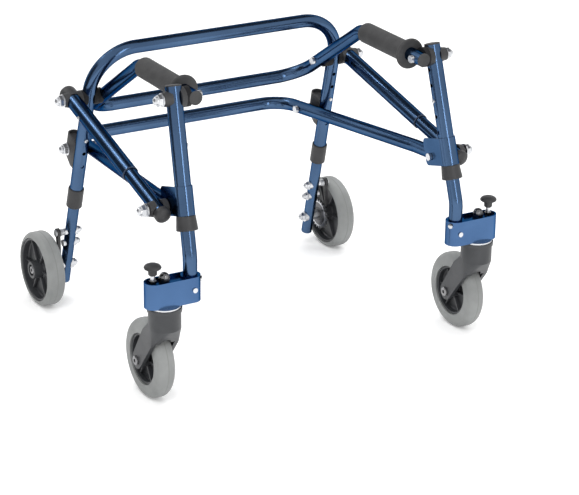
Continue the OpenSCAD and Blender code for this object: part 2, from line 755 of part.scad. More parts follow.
module caster_axle(s) color(steel) side(s) translate([caster_x, foot_corner.y + caster_trail, wheel_r]) {
    rotate([0, 90, 0]) translate([0, 0, -fork_half_w]) cylinder(r = axle_r, h = 2 * fork_half_w);
    for (turn = [-90, 90]) rotate([0, turn, 0]) translate([0, 0, fork_half_w])
        cylinder(r = axle_head_r, h = axle_head_h);
}

// Tyre profile: a block with round shoulders
module tyre_profile(rim_r, width, shoulder) {
    difference() {
        rounded([rim_r - shoulder, -width / 2], [wheel_r, width / 2], shoulder);
        translate([0, -width]) square([rim_r, 2 * width]);
    }
}

module caster_tyre(s) color(grey_rubber) side(s) translate([caster_x, foot_corner.y + caster_trail, wheel_r])
    rotate([0, 90, 0]) rotate_extrude()
        tyre_profile(wheel_r * caster_rim_share, caster_tyre_w, caster_shoulder_r);

module caster_hub(s) color(dark_plastic) side(s) translate([caster_x, foot_corner.y + caster_trail, wheel_r])
    rotate([0, 90, 0]) difference() {
        rim_r = wheel_r * caster_rim_share - tyre_seat;
        rim_w = caster_tyre_w - caster_shoulder_r / 2;
        rotate_extrude() {
            translate([rim_r - rim_wall, -rim_w / 2]) square([rim_wall, rim_w]);
            translate([0, -web_half]) square([rim_r - rim_wall / 2, 2 * web_half]);
            translate([0, boss_face_gap - fork_slot_w / 2])
                square([caster_boss_r, fork_slot_w - 2 * boss_face_gap]);
        }
        translate([0, 0, -fork_slot_w]) cylinder(r = axle_r + running_gap, h = 2 * fork_slot_w);
        for (i = [0 : caster_pockets - 1]) rotate(i * 360 / caster_pockets)
            translate([(caster_boss_r + rim_r - rim_wall) / 2, 0, -fork_slot_w])
                cylinder(r = pocket_r, h = 2 * fork_slot_w);
    }

module brace_tube(s) color(blue_tube) side(s) difference() {
    brace_frame() translate([0, 0, -brace_past_pivot]) linear_extrude(brace_tube_len + brace_past_pivot)
        ring(leg_r, tube_wall);
    cross_rod(pivot_a, brace_top.x - leg_r - overrun, brace_top.x + leg_r + overrun, bore_r);
    brace_button_hole();
}

module brace_button_hole() {
    p = brace_top + brace_dir * brace_button_down;
    cross_rod(p, p.x, p.x + leg_r + overrun, button_hole_r);
}

module brace_bar(r) rod(brace_top - brace_dir * leg_tube_d, brace_foot_point + brace_dir * leg_tube_d,
    r + running_gap);

module brace_caps(s) color(black_plastic) side(s) {
    inner_flat = brace_top.x - leg_r - (pivot_gap - turn_gap) / 2;
    outer_flat = brace_top.x + leg_r + brace_saddle_back;
    brace_frame() translate([0, 0, -brace_past_pivot]) mirror([0, 0, 1]) dome_cap(leg_r, brace_cap_h);
    brace_frame() translate([0, 0, brace_tube_len]) linear_extrude(brace_bush_h)
        ring(leg_r, leg_r - leg_slider_r - slide_gap);
    saddle(pivot_a, brace_top.x - leg_r * saddle_grip_share, inner_flat, bore_r, saddle_r) brace_bar(leg_r);
    saddle(pivot_a, brace_top.x + leg_r * saddle_grip_share, outer_flat, bore_r, saddle_r, saddle_taper)
        brace_bar(leg_r);
}

module brace_slider(s) color(blue_tube) side(s) difference() {
    brace_frame() translate([0, 0, brace_button_down - button_tail])
        linear_extrude(brace_len + foot_past_pivot - brace_button_down + button_tail)
            ring(leg_slider_r, tube_wall);
    cross_rod(pivot_c, brace_foot_point.x - leg_tube_d, brace_foot_point.x + leg_tube_d, open_bore_r);
    brace_button_hole();
}

module brace_foot(s) color(black_plastic) side(s) {
    inner_flat = pivot_c.x + sleeve_r + foot_plate_gap;
    outer_flat = brace_foot_point.x + leg_slider_r + foot_saddle_back;
    grip = leg_slider_r * saddle_grip_share;
    brace_frame() translate([0, 0, brace_len + foot_past_pivot]) dome_cap(foot_cap_r, foot_cap_h);
    saddle(pivot_c, brace_foot_point.x - grip, inner_flat, open_bore_r, saddle_r) brace_bar(leg_slider_r);
    saddle(pivot_c, brace_foot_point.x + grip, outer_flat, open_bore_r, saddle_r, saddle_taper)
        brace_bar(leg_slider_r);
}

module brace_button(s) color(steel) side(s) translate(brace_top + brace_dir * brace_button_down)
    snap_button(leg_r - tube_wall + running_gap, tube_wall);

// Sliding lower leg that carries the rear axle, and the plug in its foot
module lower_rear_leg(s) color(blue_tube) side(s) {
    difference() {
        rear_leg_frame() translate([0, 0, -rear_leg_foot])
            linear_extrude(rear_leg_foot + rear_button_up + button_tail) ring(rear_slider_r, tube_wall);
        for (up = [pawl_up, post_up])
            cross_rod(axle_point + rear_up * up, 0, rear_wheel_x, bore_r);
        cross_rod(axle_point, 0, rear_wheel_x, axle_r + running_gap);
        for (i = [0 : 1])
            rear_leg_frame() translate([0, 0, rear_button_up - i * hole_step]) rotate([90, 0, 0])
                cylinder(r = button_hole_r, h = frame_r + overrun);
    }
    rear_leg_frame() translate([0, 0, -rear_leg_foot]) mirror([0, 0, 1]) dome_cap(rear_slider_r, foot_plug_h);
}

// Axle with its inner nut and spacer, the pawl's pivot bolt and the spring post
module rear_axle(s) color(steel) side(s) {
    hub_end = rear_wheel_x + rear_tyre_w / 2 - hub_cap_h;
    inner = rear_leg_x - rear_slider_r;
    outer = rear_leg_x + rear_slider_r;
    cross_rod(axle_point, inner - rear_nut_h, hub_end, axle_r);
    difference() {
        union() {
            cross_rod(axle_point, inner - rear_nut_h, inner + overrun, rear_nut_r, 6);
            cross_rod(axle_point, inner - washer_h, inner + overrun, rear_washer_r);
            translate([inner - rear_nut_h, axle_point.y, axle_point.z]) sphere(nut_dome_r);
            cross_rod(axle_point, outer - overrun, ratchet_x - turn_gap, spacer_r);
        }
        sliding_bar();
    }
    for (up = [pawl_up, post_up]) {
        p = axle_point + rear_up * up;
        end = up == pawl_up ? pawl_x + pawl_t + turn_gap : p.x + rear_slider_r;
        difference() {
            union() {
                mirror_nut(p, p.x - rear_slider_r);
                cross_rod(p, p.x + rear_slider_r - overrun, p.x + rear_slider_r + post_head_h, bolt_head_r);
            }
            sliding_bar();
        }
        cross_rod(p, p.x - rear_slider_r - nut_h, end, bolt_r);
    }
    pin = axle_point + rear_up * pawl_up;
    cross_rod(pin, pawl_x + pawl_t + turn_gap, pawl_x + pawl_t + turn_gap + pawl_head_h, bolt_head_r);
}

module sliding_bar() rod(axle_point - rear_up * rear_leg_foot, loop_corner, rear_slider_r + running_gap);

// Cap nut that faces the middle plane
module mirror_nut(p, x) {
    cross_rod(p, x - nut_h, x + overrun, nut_r, 6);
    cross_rod(p, x - washer_h, x + overrun, small_washer_r);
    translate([x - nut_h, p.y, p.z]) sphere(nut_dome_r);
}

module rear_tyre(s) color(grey_rubber) side(s) translate([rear_wheel_x, rear_y, wheel_r])
    rotate([0, 90, 0]) rotate_extrude() tyre_profile(wheel_r * rear_rim_share, rear_tyre_w, rear_shoulder_r);

// Hub dished on both sides, with ribs from the boss to the rim
module rear_hub(s) color(dark_plastic) side(s) translate([rear_wheel_x, rear_y, wheel_r]) rotate([0, 90, 0]) {
    rim_r = wheel_r * rear_rim_share - tyre_seat;
    half = rear_tyre_w / 2 - rear_rim_in;
    boss_low = ratchet_x + ratchet_t - rear_wheel_x;
    difference() {
        union() {
            rotate_extrude() {
                translate([rim_r - rim_wall, -half]) square([rim_wall, 2 * half]);
                translate([0, -web_half]) square([rim_r - rim_wall / 2, 2 * web_half]);
                translate([0, boss_low]) square([rear_boss_r, half - boss_low]);
                translate([0, ratchet_x + turn_gap - rear_wheel_x]) square([ratchet_seat_r, rear_tyre_w / 2]);
            }
            for (i = [0 : rear_ribs - 1]) rotate(i * 360 / rear_ribs)
                translate([rear_boss_r - rib_t, -rib_t / 2, rib_set_back - half])
                    cube([rim_r - rear_boss_r - rim_wall / 2 + rib_t / 2, rib_t, 2 * (half - rib_set_back)]);
        }
        translate([0, 0, -rear_tyre_w]) cylinder(r = axle_r + running_gap, h = rear_tyre_w * 3 / 2 - hub_cap_h
            + boss_face_gap);
    }
}

// Ratchet ring: teeth with one steep side, which stop the wheel from rolling backwards
module ratchet(s) color(steel) side(s) translate([ratchet_x + turn_gap, rear_y, wheel_r]) rotate([90, 0, 90])
    linear_extrude(ratchet_t - turn_gap) difference() {
        pitch = 360 / ratchet_teeth;
        root = ratchet_r - ratchet_depth;
        rotate(180 - ratchet_angle) polygon([for (i = [0 : ratchet_teeth - 1])
            for (k = [[root_start_share, root], [root_end_share, root],
                [tip_start_share, ratchet_r], [tip_end_share, ratchet_r]])
                k.y * [cos((i + k.x) * pitch), sin((i + k.x) * pitch)]]);
        circle(ratchet_seat_r + tyre_seat);
    }

// Pawl: an arm that swings on its bolt into the ratchet's teeth
module pawl(s) color(black_plastic) side(s) {
    pin = axle_point + rear_up * pawl_up;
    translate([pawl_x, pin.y, pin.z]) rotate([90, 0, 90]) difference() {
        union() {
            cylinder(r = pawl_r, h = pawl_t);
            rotate(-pawl_angle) linear_extrude(pawl_t) polygon([[-pawl_tip_w / 2, -pawl_arm],
                [pawl_tip_w / 2, -pawl_arm], [pawl_root_w / 2, 0], [-pawl_root_w / 2, 0]]);
        }
        translate([0, 0, -overrun]) cylinder(r = bore_r, h = pawl_t + 2 * overrun);
    }
}

rear_frame();
leg_collars();
pivot_blocks();
leg_saddles();
frame_bolts();
handlebar();
hand_grips();
handlebar_saddles();
handlebar_bolts();
lower_bar();
rear_button("left");  // left_rear_button
rear_button("right");  // right_rear_button
front_leg("left");  // left_front_leg
front_leg("right");  // right_front_leg
brace_bracket("left");  // left_brace_bracket
brace_bracket("right");  // right_brace_bracket
front_leg_caps("left");  // left_front_leg_caps
front_leg_caps("right");  // right_front_leg_caps
brace_bolt("left");  // left_brace_bolt
brace_bolt("right");  // right_brace_bolt
front_button("left");  // left_front_button
front_button("right");  // right_front_button
lower_front_leg("left");  // left_lower_front_leg
lower_front_leg("right");  // right_lower_front_leg
caster_bracket("left");  // left_caster_bracket
caster_bracket("right");  // right_caster_bracket
caster_hardware("left");  // left_caster_hardware
caster_hardware("right");  // right_caster_hardware
swivel_lock("left");  // left_swivel_lock
swivel_lock("right");  // right_swivel_lock
caster_fork("left");  // left_caster_fork
caster_fork("right");  // right_caster_fork
caster_axle("left");  // left_caster_axle
caster_axle("right");  // right_caster_axle
caster_tyre("left");  // left_caster_tyre
caster_tyre("right");  // right_caster_tyre
caster_hub("left");  // left_caster_hub
caster_hub("right");  // right_caster_hub
brace_tube("left");  // left_brace_tube
brace_tube("right");  // right_brace_tube
brace_caps("left");  // left_brace_caps
brace_caps("right");  // right_brace_caps
brace_slider("left");  // left_brace_slider
brace_slider("right");  // right_brace_slider
brace_foot("left");  // left_brace_foot
brace_foot("right");  // right_brace_foot
brace_button("left");  // left_brace_button
brace_button("right");  // right_brace_button
lower_rear_leg("left");  // left_lower_rear_leg
lower_rear_leg("right");  // right_lower_rear_leg
rear_axle("left");  // left_rear_axle
rear_axle("right");  // right_rear_axle
rear_tyre("left");  // left_rear_tyre
rear_tyre("right");  // right_rear_tyre
rear_hub("left");  // left_rear_hub
rear_hub("right");  // right_rear_hub
ratchet("left");  // left_ratchet
ratchet("right");  // right_ratchet
pawl("left");  // left_pawl
pawl("right");  // right_pawl
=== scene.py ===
import json
import math

import bpy
from mathutils import Matrix, Vector


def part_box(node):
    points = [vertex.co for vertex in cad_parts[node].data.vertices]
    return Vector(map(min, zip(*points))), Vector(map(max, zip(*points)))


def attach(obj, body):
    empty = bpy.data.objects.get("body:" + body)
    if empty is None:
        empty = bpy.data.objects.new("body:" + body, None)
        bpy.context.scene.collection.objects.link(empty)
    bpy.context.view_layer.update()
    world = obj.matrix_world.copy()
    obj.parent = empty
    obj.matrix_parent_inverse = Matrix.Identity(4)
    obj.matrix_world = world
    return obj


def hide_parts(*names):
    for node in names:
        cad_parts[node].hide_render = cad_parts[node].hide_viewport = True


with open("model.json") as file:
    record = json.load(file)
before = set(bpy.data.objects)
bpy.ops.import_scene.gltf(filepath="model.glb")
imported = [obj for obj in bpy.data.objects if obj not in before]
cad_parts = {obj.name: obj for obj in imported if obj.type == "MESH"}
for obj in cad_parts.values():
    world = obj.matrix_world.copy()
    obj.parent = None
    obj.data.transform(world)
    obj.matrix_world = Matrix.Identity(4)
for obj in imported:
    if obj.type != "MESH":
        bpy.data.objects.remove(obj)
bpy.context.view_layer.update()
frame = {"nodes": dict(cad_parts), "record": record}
nodes = frame["nodes"]
print("frame loaded:", len(nodes), "nodes")

sideSigns = {"left": -1, "right": 1}


# materials: shared shader groups first

def newGroup(name, inputs, outputs):
    tree = bpy.data.node_groups.new(name, "ShaderNodeTree")
    for label, kind, value in inputs:
        socket = tree.interface.new_socket(label, in_out="INPUT", socket_type=kind)
        socket.default_value = value
    for label, kind in outputs:
        tree.interface.new_socket(label, in_out="OUTPUT", socket_type=kind)
    return tree, tree.nodes.new("NodeGroupInput"), tree.nodes.new("NodeGroupOutput")


def mathNode(tree, operation, a, b=None):
    node = tree.nodes.new("ShaderNodeMath")
    node.operation = operation
    for socket, value in zip(node.inputs, (a, b)):
        if value is None:
            continue
        if isinstance(value, (int, float)):
            socket.default_value = value
        else:
            tree.links.new(value, socket)
    return node.outputs[0]


def vectorNode(tree, operation, a, b=None):
    node = tree.nodes.new("ShaderNodeVectorMath")
    node.operation = operation
    tree.links.new(a, node.inputs[0])
    if b is not None:
        tree.links.new(b, node.inputs[1])
    return node


def noiseNode(tree, vector, scale, detail, roughness=0.55):
    node = tree.nodes.new("ShaderNodeTexNoise")
    node.inputs["Detail"].default_value = detail
    node.inputs["Roughness"].default_value = roughness
    if isinstance(scale, (int, float)):
        node.inputs["Scale"].default_value = scale
    else:
        tree.links.new(scale, node.inputs["Scale"])
    tree.links.new(vector, node.inputs["Vector"])
    return node.outputs["Fac"]


def rampNode(tree, value, low, high):
    node = tree.nodes.new("ShaderNodeMapRange")
    node.inputs["From Min"].default_value = low
    node.inputs["From Max"].default_value = high
    tree.links.new(value, node.inputs["Value"])
    return node.outputs["Result"]


def mixColor(tree, factor, a, b):
    node = tree.nodes.new("ShaderNodeMix")
    node.data_type = "RGBA"
    for socket, value in ((node.inputs[0], factor), (node.inputs[6], a), (node.inputs[7], b)):
        if isinstance(value, (int, float)):
            socket.default_value = value
        elif isinstance(value, tuple):
            socket.default_value = (*value, 1.0)
        else:
            tree.links.new(value, socket)
    return node.outputs[2]


# cloudy tone, fine grain and long scratches, used by every finish
surfaceTone = {"cloudDetail": 4.0, "cloudFrom": 0.35, "cloudTo": 0.65, "grainDetail": 2.0,
               "scratchDetail": 6.0, "scratchRough": 0.7, "scratchFrom": 0.66, "scratchTo": 0.74,
               "scratchStretch": (1.0, 0.15, 6.0), "scratchTurn": (0.4, 0.2, 0.7)}


def makeSurfaceGroup(tone):
    tree, groupIn, groupOut = newGroup(
        "surfaceTone",
        [("Vector", "NodeSocketVector", (0, 0, 0)), ("Cloud Scale", "NodeSocketFloat", 1.0),
         ("Grain Scale", "NodeSocketFloat", 1.0), ("Scratch Scale", "NodeSocketFloat", 1.0)],
        [("Cloud", "NodeSocketFloat"), ("Grain", "NodeSocketFloat"), ("Scratch", "NodeSocketFloat")])
    vector = groupIn.outputs["Vector"]
    cloud = noiseNode(tree, vector, groupIn.outputs["Cloud Scale"], tone["cloudDetail"])
    cloud = rampNode(tree, cloud, tone["cloudFrom"], tone["cloudTo"])
    tree.links.new(cloud, groupOut.inputs["Cloud"])
    grain = noiseNode(tree, vector, groupIn.outputs["Grain Scale"], tone["grainDetail"])
    tree.links.new(grain, groupOut.inputs["Grain"])
    stretch = tree.nodes.new("ShaderNodeMapping")
    stretch.inputs["Scale"].default_value = tone["scratchStretch"]
    stretch.inputs["Rotation"].default_value = tone["scratchTurn"]
    tree.links.new(vector, stretch.inputs["Vector"])
    scratch = noiseNode(tree, stretch.outputs["Vector"], groupIn.outputs["Scratch Scale"],
                        tone["scratchDetail"], tone["scratchRough"])
    scratch = rampNode(tree, scratch, tone["scratchFrom"], tone["scratchTo"])
    tree.links.new(scratch, groupOut.inputs["Scratch"])
    return tree


# 1 beyond a set distance from a middle; both sides of the walker are alike
def makeZoneGroup():
    tree, groupIn, groupOut = newGroup(
        "zoneMask",
        [("Vector", "NodeSocketVector", (0, 0, 0)), ("Middle", "NodeSocketVector", (0, 0, 0)),
         ("Weights", "NodeSocketVector", (1, 1, 1)), ("Start", "NodeSocketFloat", 0.0),
         ("Span", "NodeSocketFloat", 1.0)],
        [("Mask", "NodeSocketFloat")])
    oneSide = vectorNode(tree, "ABSOLUTE", groupIn.outputs["Vector"]).outputs["Vector"]
    offset = vectorNode(tree, "SUBTRACT", oneSide, groupIn.outputs["Middle"]).outputs["Vector"]
    weighted = vectorNode(tree, "MULTIPLY", offset, groupIn.outputs["Weights"]).outputs["Vector"]
    distance = vectorNode(tree, "LENGTH", weighted).outputs["Value"]
    past = mathNode(tree, "SUBTRACT", distance, groupIn.outputs["Start"])
    mask = mathNode(tree, "DIVIDE", past, groupIn.outputs["Span"])
    mask.node.use_clamp = True
    tree.links.new(mask, groupOut.inputs["Mask"])
    return tree


surfaceGroup = makeSurfaceGroup(surfaceTone)
zoneGroup = makeZoneGroup()


def newMaterial(name):
    material = bpy.data.materials.new(name)
    material.use_nodes = True
    tree = material.node_tree
    shader = tree.nodes["Principled BSDF"]
    place = tree.nodes.new("ShaderNodeTexCoord")
    return material, tree, shader, place.outputs["Object"]


def placeGroup(tree, group, vector, **values):
    node = tree.nodes.new("ShaderNodeGroup")
    node.node_tree = group
    tree.links.new(vector, node.inputs["Vector"])
    for label, value in values.items():
        node.inputs[label.replace("_", " ")].default_value = value
    return node


# one finish: two tones mixed by clouds, scuffs, a roughness span and a grain bump, and maybe a zone
def makeFinish(look):
    material, tree, shader, vector = newMaterial(look["name"])
    tone = placeGroup(tree, surfaceGroup, vector, Cloud_Scale=look["cloudScale"],
                      Grain_Scale=look["grainScale"], Scratch_Scale=look["scratchScale"])
    color = mixColor(tree, tone.outputs["Cloud"], look["dark"], look["light"])
    scuff = mathNode(tree, "MULTIPLY", tone.outputs["Scratch"], look["scuff"])
    color = mixColor(tree, scuff, color, look["worn"])
    height = tone.outputs["Grain"]
    zone = look.get("zone")
    if zone:
        beyond = placeGroup(tree, zoneGroup, vector, Middle=zone["middle"], Weights=zone["weights"],
                            Start=zone["start"], Span=zone["span"]).outputs["Mask"]
        color = mixColor(tree, beyond, zone["color"], color)
        ridge = mathNode(tree, "MULTIPLY_ADD", beyond, -zone["ridge"])
        tree.links.new(height, ridge.node.inputs[2])
        height = ridge
    tree.links.new(color, shader.inputs["Base Color"])
    rough = mathNode(tree, "MULTIPLY_ADD", tone.outputs["Grain"], look["roughSpan"])
    rough.node.inputs[2].default_value = look["rough"]
    rough = mathNode(tree, "ADD", rough, mathNode(tree, "MULTIPLY", scuff, look["scuffRough"]))
    tree.links.new(rough, shader.inputs["Roughness"])
    bump = tree.nodes.new("ShaderNodeBump")
    bump.inputs["Strength"].default_value = look["bump"]
    bump.inputs["Distance"].default_value = look["bumpDepth"]
    tree.links.new(height, bump.inputs["Height"])
    tree.links.new(bump.outputs["Normal"], shader.inputs["Normal"])
    shader.inputs["Metallic"].default_value = look["metallic"]
    if "gloss" in look:
        shader.inputs["Specular IOR Level"].default_value = look["gloss"]
    if "edge" in look:
        shader.inputs["Specular Tint"].default_value = (*look["edge"], 1.0)
    return material


finishes = {
    "blueTube": {
        "name": "blueTube", "dark": (0.055, 0.099, 0.182), "light": (0.072, 0.128, 0.230),
        "worn": (0.12, 0.18, 0.29), "scuff": 0.12, "scuffRough": 0.06, "cloudScale": 9.0,
        "grainScale": 1400.0, "scratchScale": 60.0, "rough": 0.16, "roughSpan": 0.08, "bump": 0.015,
        "bumpDepth": 0.0004, "metallic": 1.0, "edge": (0.24, 0.26, 0.32)},
    "bluePlate": {
        "name": "bluePlate", "dark": (0.058, 0.116, 0.238), "light": (0.074, 0.146, 0.292),
        "worn": (0.12, 0.20, 0.35), "scuff": 0.12, "scuffRough": 0.06, "cloudScale": 9.0,
        "grainScale": 1400.0, "scratchScale": 60.0, "rough": 0.18, "roughSpan": 0.08, "bump": 0.015,
        "bumpDepth": 0.0004, "metallic": 1.0, "edge": (0.24, 0.28, 0.36)},
    "blackPlastic": {
        "name": "blackPlastic", "dark": (0.018, 0.018, 0.019), "light": (0.028, 0.028, 0.030),
        "worn": (0.06, 0.06, 0.062), "scuff": 0.30, "scuffRough": 0.10, "cloudScale": 30.0,
        "grainScale": 1800.0, "scratchScale": 80.0, "rough": 0.42, "roughSpan": 0.16, "bump": 0.15,
        "bumpDepth": 0.0004, "metallic": 0.0},
    # the saddles' black: base colour darker than the black plastic and reflections turned down, painted shade
    # for the shadow the saddles sit in
    "shadeDarkenedSaddle": {
        "name": "shadeDarkenedSaddle", "dark": (0.008, 0.008, 0.009), "light": (0.014, 0.014, 0.015),
        "worn": (0.03, 0.03, 0.03), "scuff": 0.20, "scuffRough": 0.10, "cloudScale": 40.0,
        "grainScale": 1500.0, "scratchScale": 70.0, "rough": 0.55, "roughSpan": 0.18, "bump": 0.20,
        "bumpDepth": 0.0004, "metallic": 0.0, "gloss": 0.2},
    "gripRubber": {
        "name": "gripRubber", "dark": (0.032, 0.032, 0.033), "light": (0.046, 0.046, 0.047),
        "worn": (0.05, 0.05, 0.05), "scuff": 0.20, "scuffRough": 0.10, "cloudScale": 45.0,
        "grainScale": 1100.0, "scratchScale": 60.0, "rough": 0.62, "roughSpan": 0.20, "bump": 0.35,
        "bumpDepth": 0.0006, "metallic": 0.0},
    "steel": {
        "name": "steel", "dark": (0.52, 0.53, 0.55), "light": (0.70, 0.71, 0.73),
        "worn": (0.40, 0.40, 0.41), "scuff": 0.50, "scuffRough": 0.15, "cloudScale": 60.0,
        "grainScale": 1600.0, "scratchScale": 150.0, "rough": 0.22, "roughSpan": 0.14, "bump": 0.06,
        "bumpDepth": 0.0003, "metallic": 1.0},
    "dullSteel": {
        "name": "dullSteel", "dark": (0.20, 0.20, 0.205), "light": (0.34, 0.34, 0.345),
        "worn": (0.10, 0.10, 0.10), "scuff": 0.60, "scuffRough": 0.15, "cloudScale": 120.0,
        "grainScale": 1600.0, "scratchScale": 150.0, "rough": 0.30, "roughSpan": 0.16, "bump": 0.08,
        "bumpDepth": 0.0003, "metallic": 1.0},
    "greyTyre": {
        "name": "greyTyre", "dark": (0.218, 0.225, 0.222), "light": (0.276, 0.284, 0.280),
        "worn": (0.36, 0.37, 0.36), "scuff": 0.35, "scuffRough": 0.12, "cloudScale": 22.0,
        "grainScale": 1000.0, "scratchScale": 45.0, "rough": 0.48, "roughSpan": 0.18, "bump": 0.16,
        "bumpDepth": 0.0005, "metallic": 0.0},
    "darkPlastic": {
        "name": "darkPlastic", "dark": (0.026, 0.028, 0.031), "light": (0.040, 0.042, 0.046),
        "worn": (0.09, 0.09, 0.095), "scuff": 0.25, "scuffRough": 0.10, "cloudScale": 26.0,
        "grainScale": 1500.0, "scratchScale": 70.0, "rough": 0.36, "roughSpan": 0.16, "bump": 0.14,
        "bumpDepth": 0.0004, "metallic": 0.0},
}
# finishes that differ in one zone: the tyres' mould line, the ratchet's web, the swivel bolt's ring and
# the braces' bush
finishes["rearTyre"] = {**finishes["greyTyre"], "name": "rearTyre", "zone": {
    "middle": (0.283, 0, 0), "weights": (1, 0, 0), "start": 0.0004, "span": 0.0005,
    "color": (0.20, 0.205, 0.20), "ridge": 2.0}}
finishes["casterTyre"] = {**finishes["greyTyre"], "name": "casterTyre", "zone": {
    "middle": (0.285, 0, 0), "weights": (1, 0, 0), "start": 0.0004, "span": 0.0005,
    "color": (0.20, 0.205, 0.20), "ridge": 2.0}}
finishes["ratchetSteel"] = {**finishes["steel"], "name": "ratchetSteel", "zone": {
    "middle": (0, 0.2104, 0.0635), "weights": (0, 1, 1), "start": 0.0205, "span": 0.0015,
    "color": (0.10, 0.10, 0.105), "ridge": 0.0}}
finishes["casterSteel"] = {**finishes["dullSteel"], "name": "casterSteel", "dark": (0.10, 0.10, 0.105),
                           "light": (0.22, 0.22, 0.225), "rough": 0.16, "zone": {
    "middle": (0, 0, 0), "weights": (0, 0, 1), "start": 0.2065, "span": 0.001,
    "color": (0.62, 0.63, 0.65), "ridge": 0.0}}
finishes["braceCaps"] = {**finishes["blackPlastic"], "name": "braceCaps", "zone": {
    "middle": (0, 0.099, 0.331), "weights": (0, 1, 1), "start": 0.02, "span": 0.001,
    "color": (0.022, 0.036, 0.068), "ridge": 0.0}}
materials = {name: makeFinish(look) for name, look in finishes.items()}
slotFinish = {"blue_tube": "blueTube", "black_plastic": "blackPlastic", "grip_rubber": "gripRubber",
              "steel": "steel", "grey_rubber": "greyTyre", "dark_plastic": "darkPlastic"}


def paint(obj, finish):
    obj.data.materials.clear()
    obj.data.materials.append(materials[finish])


# the saddles take the black that is darkened with painted shade
nodeFinish = {"leg_saddles": "shadeDarkenedSaddle", "handlebar_saddles": "shadeDarkenedSaddle"}
for side in sideSigns:
    nodeFinish[side + "_caster_bracket"] = "bluePlate"
    nodeFinish[side + "_caster_hardware"] = "casterSteel"
    nodeFinish[side + "_rear_tyre"] = "rearTyre"
    nodeFinish[side + "_caster_tyre"] = "casterTyre"
    nodeFinish[side + "_ratchet"] = "ratchetSteel"
    nodeFinish[side + "_brace_caps"] = "braceCaps"
for subpart in frame["record"]["subparts"]:
    usual = slotFinish[subpart["material_slot"]]
    paint(nodes[subpart["node"]], nodeFinish.get(subpart["node"], usual))
print("materials:", len(materials))


# modelling helpers: a primitive first, then edit mode; the pieces' sizes are in millimetres
mm = 0.001
roundSegments = 56
edgeSegments = 2
pickSlack = 0.1
# part of a unit vector from which it counts as lying along an axis
alongShare = 0.9


def makeActive(piece):
    bpy.ops.object.select_all(action="DESELECT")
    piece.select_set(True)
    bpy.context.view_layer.objects.active = piece


# a disc drawn out ring by ring along Z; each ring is (radius, height)
def turnRings(name, rings, segments=roundSegments):
    bpy.ops.object.select_all(action="DESELECT")
    radius, height = rings[0]
    bpy.ops.mesh.primitive_circle_add(vertices=segments, radius=radius * mm, fill_type="NGON",
                                      location=(0, 0, height * mm))
    piece = bpy.context.object
    piece.name = name
    bpy.ops.object.transform_apply(location=True, rotation=True, scale=True)
    bpy.ops.object.mode_set(mode="EDIT")
    bpy.ops.mesh.select_all(action="SELECT")
    for nextRadius, nextHeight in rings[1:]:
        step = (0, 0, (nextHeight - height) * mm)
        bpy.ops.mesh.extrude_region_move(TRANSFORM_OT_translate={"value": step})
        share = nextRadius / radius
        bpy.ops.transform.resize(value=(share, share, 1.0), center_override=(0, 0, nextHeight * mm))
        radius, height = nextRadius, nextHeight
    bpy.ops.mesh.select_all(action="SELECT")
    bpy.ops.mesh.normals_make_consistent(inside=False)
    bpy.ops.object.mode_set(mode="OBJECT")
    return piece


def joinPieces(name, pieces):
    makeActive(pieces[0])
    for piece in pieces:
        piece.select_set(True)
    bpy.ops.object.join()
    pieces[0].name = name
    return pieces[0]


def applyModifier(piece, kind, **values):
    makeActive(piece)
    modifier = piece.modifiers.new(kind.lower(), kind)
    for label, value in values.items():
        setattr(modifier, label, value)
    bpy.ops.object.modifier_apply(modifier=modifier.name)


# union or cut with a second piece, which is used up
def combine(piece, other, operation):
    applyModifier(piece, "BOOLEAN", object=other, operation=operation, solver="EXACT")
    bpy.data.objects.remove(other)


# second finish on the faces that the test picks, by radius and height along the piece's own axis
def paintSome(piece, finish, picks):
    piece.data.materials.append(materials[finish])
    for face in piece.data.polygons:
        spot = face.center / mm
        if picks(math.hypot(spot.x, spot.y), spot.z):
            face.material_index = 1


# a place and a turn that puts Z along the given direction
def axesAt(place, direction):
    along = Vector(direction).normalized()
    across = Vector((0, 1, 0)) if abs(along.x) > alongShare else Vector((1, 0, 0))
    across = (across - along * across.dot(along)).normalized()
    turn = Matrix((across, along.cross(across), along)).transposed().to_4x4()
    return Matrix.Translation(Vector(place) * mm) @ turn


# puts a piece in its place and smooths all edges but the sharp ones
def settle(piece, matrix, smoothAngle=32):
    makeActive(piece)
    piece.matrix_world = matrix
    bpy.ops.object.transform_apply(location=True, rotation=True, scale=True)
    bpy.ops.object.shade_smooth_by_angle(angle=math.radians(smoothAngle))


# puts a piece under its body, and hides the CAD nodes that it stands in for
def carry(piece, body, slot, *replaced):
    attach(piece, body)
    if replaced:
        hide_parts(*replaced)


# middle of a CAD node's box
def nodeMiddle(node):
    return [(a + b) / 2 / mm for a, b in zip(*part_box(node))]


# rear hubs: rim, web and boss in one turn, ribs across the web, a drum cap with a sunk bolt
rearHub = {"boreRadius": 4.3, "boreEnd": 12.4, "seatRadius": 12.0, "seatLow": -24.7, "bossLow": -19.0,
           "bossRadius": 15.0, "webHalf": 2.5, "rimRadius": 54.5, "rimWall": 4.2, "rimHalf": 14.0,
           "capRadius": 14.4, "capTop": 21.0, "sinkRadius": 9.6, "sinkFloor": 17.0, "boltRadius": 6.6,
           "boltTop": 20.2, "socketRadius": 3.2, "socketFloor": 18.2, "edge": 0.8, "fillet": 1.6, "ribs": 6,
           "ribWidth": 3.4, "ribHalf": 8.0, "segments": 72}


